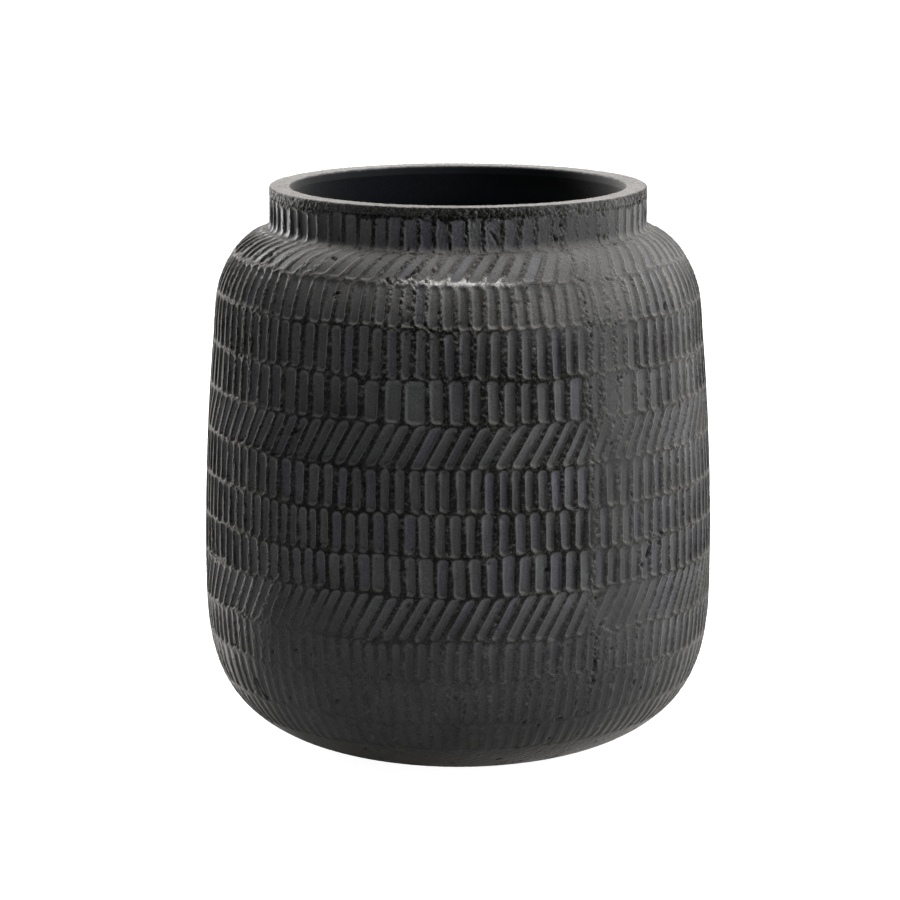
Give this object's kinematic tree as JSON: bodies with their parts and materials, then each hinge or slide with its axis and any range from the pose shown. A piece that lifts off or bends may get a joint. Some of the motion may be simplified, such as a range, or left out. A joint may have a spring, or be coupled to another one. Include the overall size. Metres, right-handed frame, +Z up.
{
  "type": "clay pot",
  "caption": "Wide round clay pot with a softly tapering body, rolled shoulder, short upright neck and open mouth, stamped all over.",
  "frame": {"origin": "centre of the foot, on the surface that the pot stands on", "axes": "+Z up along the pot's axis; +X and +Y level, with -Y towards the front"},
  "size_m": [0.2742, 0.2742, 0.3006],
  "materials": {
    "stamped_clay": "unglazed smoke-fired black clay, matt and grainy, with smooth stamped grooves and pale worn crests",
    "plain_clay": "unglazed smoke-fired black clay, wiped smooth by hand, matt, slightly paler where it is worn"
  },
  "bodies": {
    "root": {"floor_slab": "plain_clay", "foot_curve": "plain_clay", "lower_wall": "stamped_clay", "belly_wall": "stamped_clay", "upper_wall": "stamped_clay", "shoulder": "stamped_clay", "neck_collar": "stamped_clay", "rim_lip": "plain_clay"}
  },
  "joints": []
}
